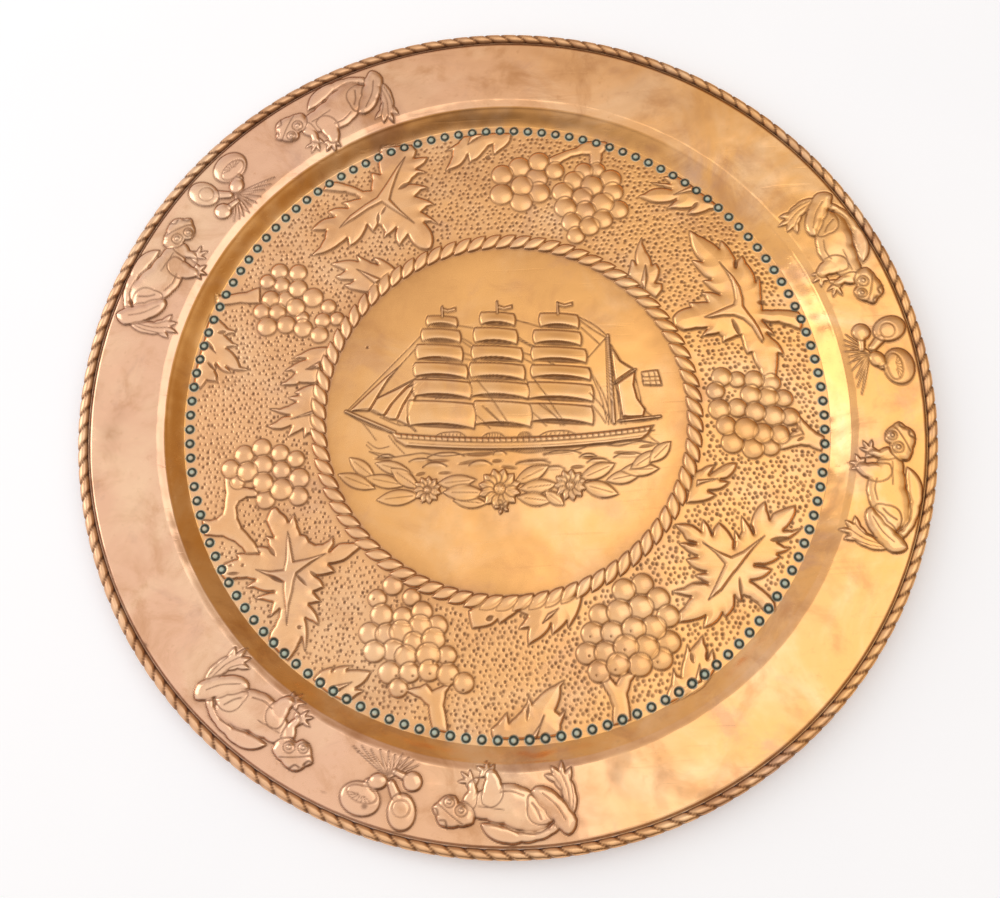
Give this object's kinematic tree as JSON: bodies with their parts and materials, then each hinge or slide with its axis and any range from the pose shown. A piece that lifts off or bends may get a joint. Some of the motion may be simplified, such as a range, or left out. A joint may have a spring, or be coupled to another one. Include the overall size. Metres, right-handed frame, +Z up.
{
  "type": "decorative charger",
  "caption": "Round shallow metal dish with a broad flat rim and a rope-twist edge, raised and chased with a sailing ship, vines, frogs and mushrooms.",
  "frame": {"origin": "centre of the flat underside of the well", "axes": "+Z up out of the well, the way the worked face looks; +Y towards the ship's mastheads; +X towards the ship's stern"},
  "size_m": [0.6, 0.6, 0.0186],
  "materials": {
    "chased_copper": "polished copper, chased, with dark patina in the hollows and verdigris in the bead ring"
  },
  "bodies": {
    "root": {"charger": "chased_copper"}
  },
  "joints": []
}
